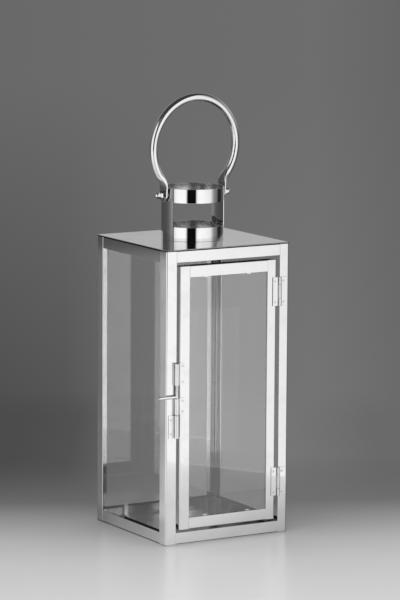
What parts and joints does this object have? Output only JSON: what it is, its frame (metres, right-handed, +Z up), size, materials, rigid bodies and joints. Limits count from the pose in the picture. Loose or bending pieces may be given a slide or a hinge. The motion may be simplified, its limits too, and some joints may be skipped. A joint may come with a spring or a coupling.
{
  "type": "candle lantern",
  "caption": "Square glazed sheet-steel candle lantern with a hinged glass door, sliding door bolt, open ring chimney and a swinging bail handle.",
  "frame": {"origin": "Centre of the underside of the base, on the surface the lantern stands on.", "axes": "+Z up; -Y out of the face with the door, hinged on the +X side and bolted on the -X side; the handle's pivots lie along X."},
  "size_m": [0.1722, 0.1661, 0.5017],
  "materials": {
    "frame_steel": "polished stainless sheet, faintly rippled",
    "mirror_steel": "mirror-polished stainless steel",
    "fitting_steel": "bright pressed stainless sheet",
    "fastener_steel": "plain bright steel",
    "clear_glass": "clear float glass with ground edges"
  },
  "bodies": {
    "body": {"floor_plate": "frame_steel", "top_plate": "mirror_steel", "post_front_left": "frame_steel", "post_front_right": "frame_steel", "post_rear_left": "frame_steel", "post_rear_right": "frame_steel", "bottom_rail_front": "frame_steel", "bottom_rail_rear": "frame_steel", "bottom_rail_left": "frame_steel", "bottom_rail_right": "frame_steel", "top_rail_front": "frame_steel", "top_rail_rear": "frame_steel", "top_rail_left": "frame_steel", "top_rail_right": "frame_steel", "glass_left": "clear_glass", "glass_right": "clear_glass", "glass_rear": "clear_glass", "glass_lugs": "frame_steel", "chimney_ring_lower": "mirror_steel", "chimney_ring_upper": "mirror_steel", "chimney_strap_left": "mirror_steel", "chimney_strap_right": "mirror_steel", "pivot_bolts": "fastener_steel", "pivot_washers": "fastener_steel", "acorn_nuts": "mirror_steel", "hinge_post_leaf_lower": "fitting_steel", "hinge_post_leaf_upper": "fitting_steel", "hinge_pin_lower": "fastener_steel", "hinge_pin_upper": "fastener_steel", "bolt_keeper": "fitting_steel", "post_rivets": "fastener_steel"},
    "door": {"door_stile_latch": "frame_steel", "door_stile_hinge": "frame_steel", "door_rail_top": "frame_steel", "door_rail_bottom": "frame_steel", "door_glass": "clear_glass", "door_glass_clips": "frame_steel", "hinge_door_leaf_lower": "fitting_steel", "hinge_door_leaf_upper": "fitting_steel", "bolt_guide_lower": "fitting_steel", "bolt_guide_upper": "fitting_steel", "door_rivets": "fastener_steel"},
    "bolt": {"bolt_rod": "fastener_steel", "bolt_lever": "fastener_steel"},
    "bail": {"bail_handle": "mirror_steel"}
  },
  "joints": [
    {"name": "door_swing", "type": "hinge", "parent": "body", "child": "door", "pos_m": [0.0673, -0.0819, 0.17035], "axis": [0, 0, 1], "range_deg": [0, 180]},
    {"name": "bolt_slide", "type": "slide", "parent": "door", "child": "bolt", "axis": [0, 0, 1], "range_m": [0, 0.0113]},
    {"name": "bail_swing", "type": "hinge", "parent": "body", "child": "bail", "pos_m": [0, 0, 0.387], "axis": [1, 0, 0], "range_deg": [-123.5, 115]}
  ]
}
